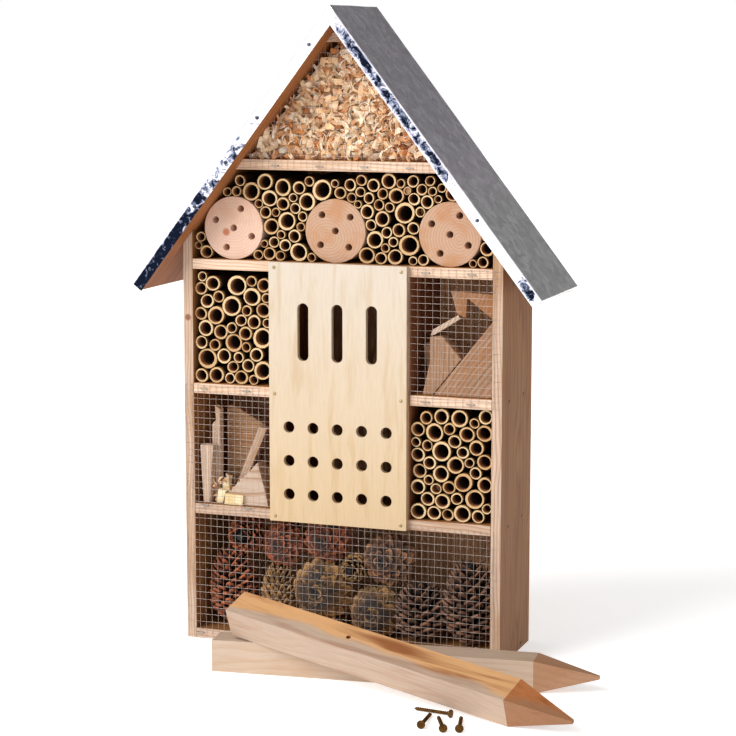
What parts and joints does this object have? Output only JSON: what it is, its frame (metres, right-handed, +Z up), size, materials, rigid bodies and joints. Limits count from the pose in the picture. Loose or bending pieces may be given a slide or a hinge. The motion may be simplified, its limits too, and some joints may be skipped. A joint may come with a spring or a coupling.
{
  "type": "insect hotel",
  "caption": "Boarded wooden insect house with a pitched galvanised roof, mesh-fronted bays of canes, logs, offcuts and cones, and two loose pointed stakes.",
  "frame": {"origin": "centre of the underside of the house, between its front edges and the outer face of its back panel", "axes": "+X to the right seen from the front, +Y to the back, +Z up"},
  "size_m": [0.4798, 0.3096, 0.6127],
  "materials": {
    "pine": "planed pine, unpainted",
    "brown_board": "brown weathered softwood",
    "roof_board": "planed softwood, brown",
    "zinc_sheet": "galvanised sheet, satin with spangle",
    "roof_nail": "dark galvanised nail heads",
    "wire_nail": "bright wire nails",
    "zinc_wire": "galvanised wire",
    "log": "peeled log with sawn ends",
    "cane": "split-free bamboo cane",
    "reed": "dry reed",
    "shavings": "curled softwood chips",
    "plywood": "sanded plywood",
    "offcut": "sawn softwood offcuts",
    "pine_cone": "open scales with pale tips",
    "stake": "sawn softwood",
    "brass_screw": "yellow passivated screws"
  },
  "bodies": {
    "house": {"left_side": "pine", "right_side": "pine", "base_board": "pine", "lower_shelf": "pine", "mid_shelf_left": "pine", "mid_shelf_centre": "pine", "mid_shelf_right": "pine", "upper_shelf": "pine", "top_shelf": "pine", "divider_left": "pine", "divider_right": "pine", "back_panel": "brown_board", "roof_board_left": "roof_board", "roof_board_right": "roof_board", "ridge_block": "pine", "roof_sheet": "zinc_sheet", "roof_nails": "roof_nail", "front_plate": "plywood", "plate_nails": "wire_nail", "frame_nails": "wire_nail", "gable_mesh": "zinc_wire", "left_mesh": "zinc_wire", "right_mesh": "zinc_wire", "bottom_mesh": "zinc_wire", "mesh_staples": "zinc_wire", "log_left": "log", "log_middle": "log", "log_right": "log", "gallery_canes": "cane", "gallery_reeds": "reed", "left_bay_canes": "cane", "left_bay_reeds": "reed", "right_bay_canes": "cane", "right_bay_reeds": "reed", "gable_shavings": "shavings", "left_plank": "offcut", "left_lath": "offcut", "left_board": "brown_board", "left_strut": "offcut", "left_wedge": "offcut", "left_chips": "offcut", "right_wedge": "offcut", "right_block": "brown_board", "right_lath": "offcut", "right_board": "offcut", "right_twig": "brown_board", "pine_cone_1": "pine_cone", "pine_cone_2": "pine_cone", "pine_cone_3": "pine_cone", "pine_cone_4": "pine_cone", "pine_cone_5": "pine_cone", "pine_cone_6": "pine_cone", "pine_cone_7": "pine_cone", "pine_cone_8": "pine_cone", "pine_cone_9": "pine_cone", "pine_cone_10": "pine_cone", "pine_cone_11": "pine_cone"},
    "stake_lower": {"stake_lower": "stake"},
    "stake_upper": {"stake_upper": "stake"},
    "stake_screws": {"stake_screws": "brass_screw"}
  },
  "joints": [
    {"name": "stake_lower_lift", "type": "slide", "parent": "house", "child": "stake_lower", "axis": [0, 0, 1], "range_m": [0, 0.2]},
    {"name": "stake_upper_lift", "type": "slide", "parent": "stake_lower", "child": "stake_upper", "axis": [0, 0, 1], "range_m": [0, 0.2]},
    {"name": "stake_screws_slide", "type": "slide", "parent": "house", "child": "stake_screws", "axis": [0, -1, 0], "range_m": [0, 0.1]}
  ]
}
